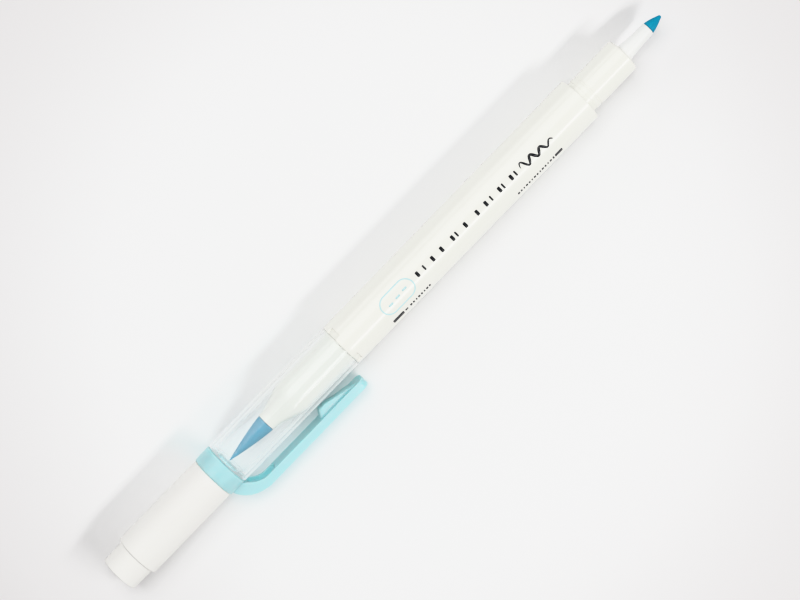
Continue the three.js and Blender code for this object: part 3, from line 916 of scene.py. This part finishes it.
white_cap_shape = turned([
    [0, 0],
    [0, STUB_RADIUS - STUB_TAPER],
    [STUB_END, STUB_RADIUS],
    [STUB_END, WHITE_CAP_RADIUS],
    [WHITE_CAP_MOUTH, WHITE_CAP_RADIUS],
    [WHITE_CAP_MOUTH, WHITE_CAP_BORE],
    [STUB_END + WHITE_CAP_STEP, WHITE_CAP_BORE],
    [STUB_END + WHITE_CAP_STEP, STUB_BORE],
    [WHITE_CAP_END_WALL, STUB_BORE],
    [WHITE_CAP_END_WALL, 0],
], steps=120)
place_on_pen(white_cap_shape)
white_cap = add_piece("white_cap_shell", white_cap_shape, satin_polypropylene)
soften_edges(white_cap, width=0.3)
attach(white_cap, "fine_cap")
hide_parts("fine_cap")
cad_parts["fine_cap_liner"].material_slots[0].material = natural_polypropylene

# ---------------------------------------------------------------------------------------------------
# Table
# A wide sheet of matt white board, lying flat. Its colour holds a painted pool of light: painted whitest
# round the pen, a little darker within a hand's width of it, and even from there on.
# ---------------------------------------------------------------------------------------------------

TABLE_HALF_SIZE = 3.0
PAINTED_LIGHT_START = 0.048
PAINTED_LIGHT_END = 0.118

table_shape = bmesh.new()
bmesh.ops.create_grid(table_shape, x_segments=1, y_segments=1, size=TABLE_HALF_SIZE)
# Painted light: the board's colour darkens with distance from the pen, standing in for the lamps' falloff.
matt_board = new_material("matt_white_board")
place = add_node(matt_board, "TexCoord")
reach = add_node(matt_board, "VectorMath", {0: place.outputs["Object"]}, operation="LENGTH")
painted_light_falloff = add_node(matt_board, "MapRange", {
    "Value": reach.outputs["Value"], "From Min": PAINTED_LIGHT_START, "From Max": PAINTED_LIGHT_END,
}, interpolation_type="SMOOTHSTEP")
board = add_node(matt_board, "Mix", {
    0: painted_light_falloff.outputs[0], 6: linear("#ececec"), 7: linear("#cecccc"),
}, data_type="RGBA")
surface = add_node(matt_board, "BsdfPrincipled", {
    "Base Color": board.outputs[2], "Roughness": 0.8, "Specular IOR Level": 0.2,
})
add_node(matt_board, "OutputMaterial", {"Surface": surface.outputs[0]})
table = add_piece("table", table_shape, matt_board)

# ---------------------------------------------------------------------------------------------------
# Light and camera
# A white studio gives even light from all round. A narrow softbox on the clip's side adds the highlight
# along the barrel, and a large one overhead and a weak one on the far side soften the shadows. The camera
# hangs above the pen and looks straight down.
# ---------------------------------------------------------------------------------------------------

STUDIO_LIGHT = 0.4
STRIP_POWER = 2.34
STRIP_SIZE = (0.367, 0.06)
STRIP_PLACE = (0.116, -0.424, 0.424)
OVERHEAD_POWER = 3.22
OVERHEAD_SIZE = (0.5, 0.5)
OVERHEAD_PLACE = (0, 0.239, 0.658)
FAR_POWER = 0.85
FAR_SIZE = (0.5, 0.2)
FAR_PLACE = (0, 0.606, 0.35)
CAMERA_LENS = 103.7
CAMERA_HEIGHT = 0.5
CAMERA_CENTRE = (0.000725, 0.00006)
CAMERA_TURN = math.radians(-45.9)

studio = bpy.data.worlds.new("studio")
studio.use_nodes = True
studio.node_tree.nodes["Background"].inputs["Color"].default_value = linear("#ffffff")
studio.node_tree.nodes["Background"].inputs["Strength"].default_value = STUDIO_LIGHT
bpy.context.scene.world = studio


def add_softbox(name, size, power, place):
    """A soft rectangular light that faces the pen's axis, long side along the pen."""
    light = bpy.data.lights.new(name, "AREA")
    light.shape = "RECTANGLE"
    light.size, light.size_y = size
    light.energy = power
    softbox = bpy.data.objects.new(name, light)
    softbox.location = Vector((0, PEN_AXIS.y, PEN_AXIS.z)) + Vector(place)
    softbox.rotation_euler = (-Vector((0, place[1], place[2]))).to_track_quat("-Z", "Y").to_euler()
    softbox.visible_camera = False
    bpy.context.scene.collection.objects.link(softbox)


add_softbox("strip_light", STRIP_SIZE, STRIP_POWER, STRIP_PLACE)
add_softbox("overhead_panel", OVERHEAD_SIZE, OVERHEAD_POWER, OVERHEAD_PLACE)
add_softbox("far_panel", FAR_SIZE, FAR_POWER, FAR_PLACE)

camera_data = bpy.data.cameras.new("camera")
camera_data.lens = CAMERA_LENS
camera_data.sensor_width = 36
camera_data.clip_start = 0.01
camera_data.clip_end = 10
camera = bpy.data.objects.new("camera", camera_data)
camera.location = (*CAMERA_CENTRE, PEN_AXIS.z + CAMERA_HEIGHT)
camera.rotation_euler = (0, 0, CAMERA_TURN)
bpy.context.scene.collection.objects.link(camera)
bpy.context.scene.camera = camera

bpy.context.scene.view_settings.view_transform = "Khronos PBR Neutral"
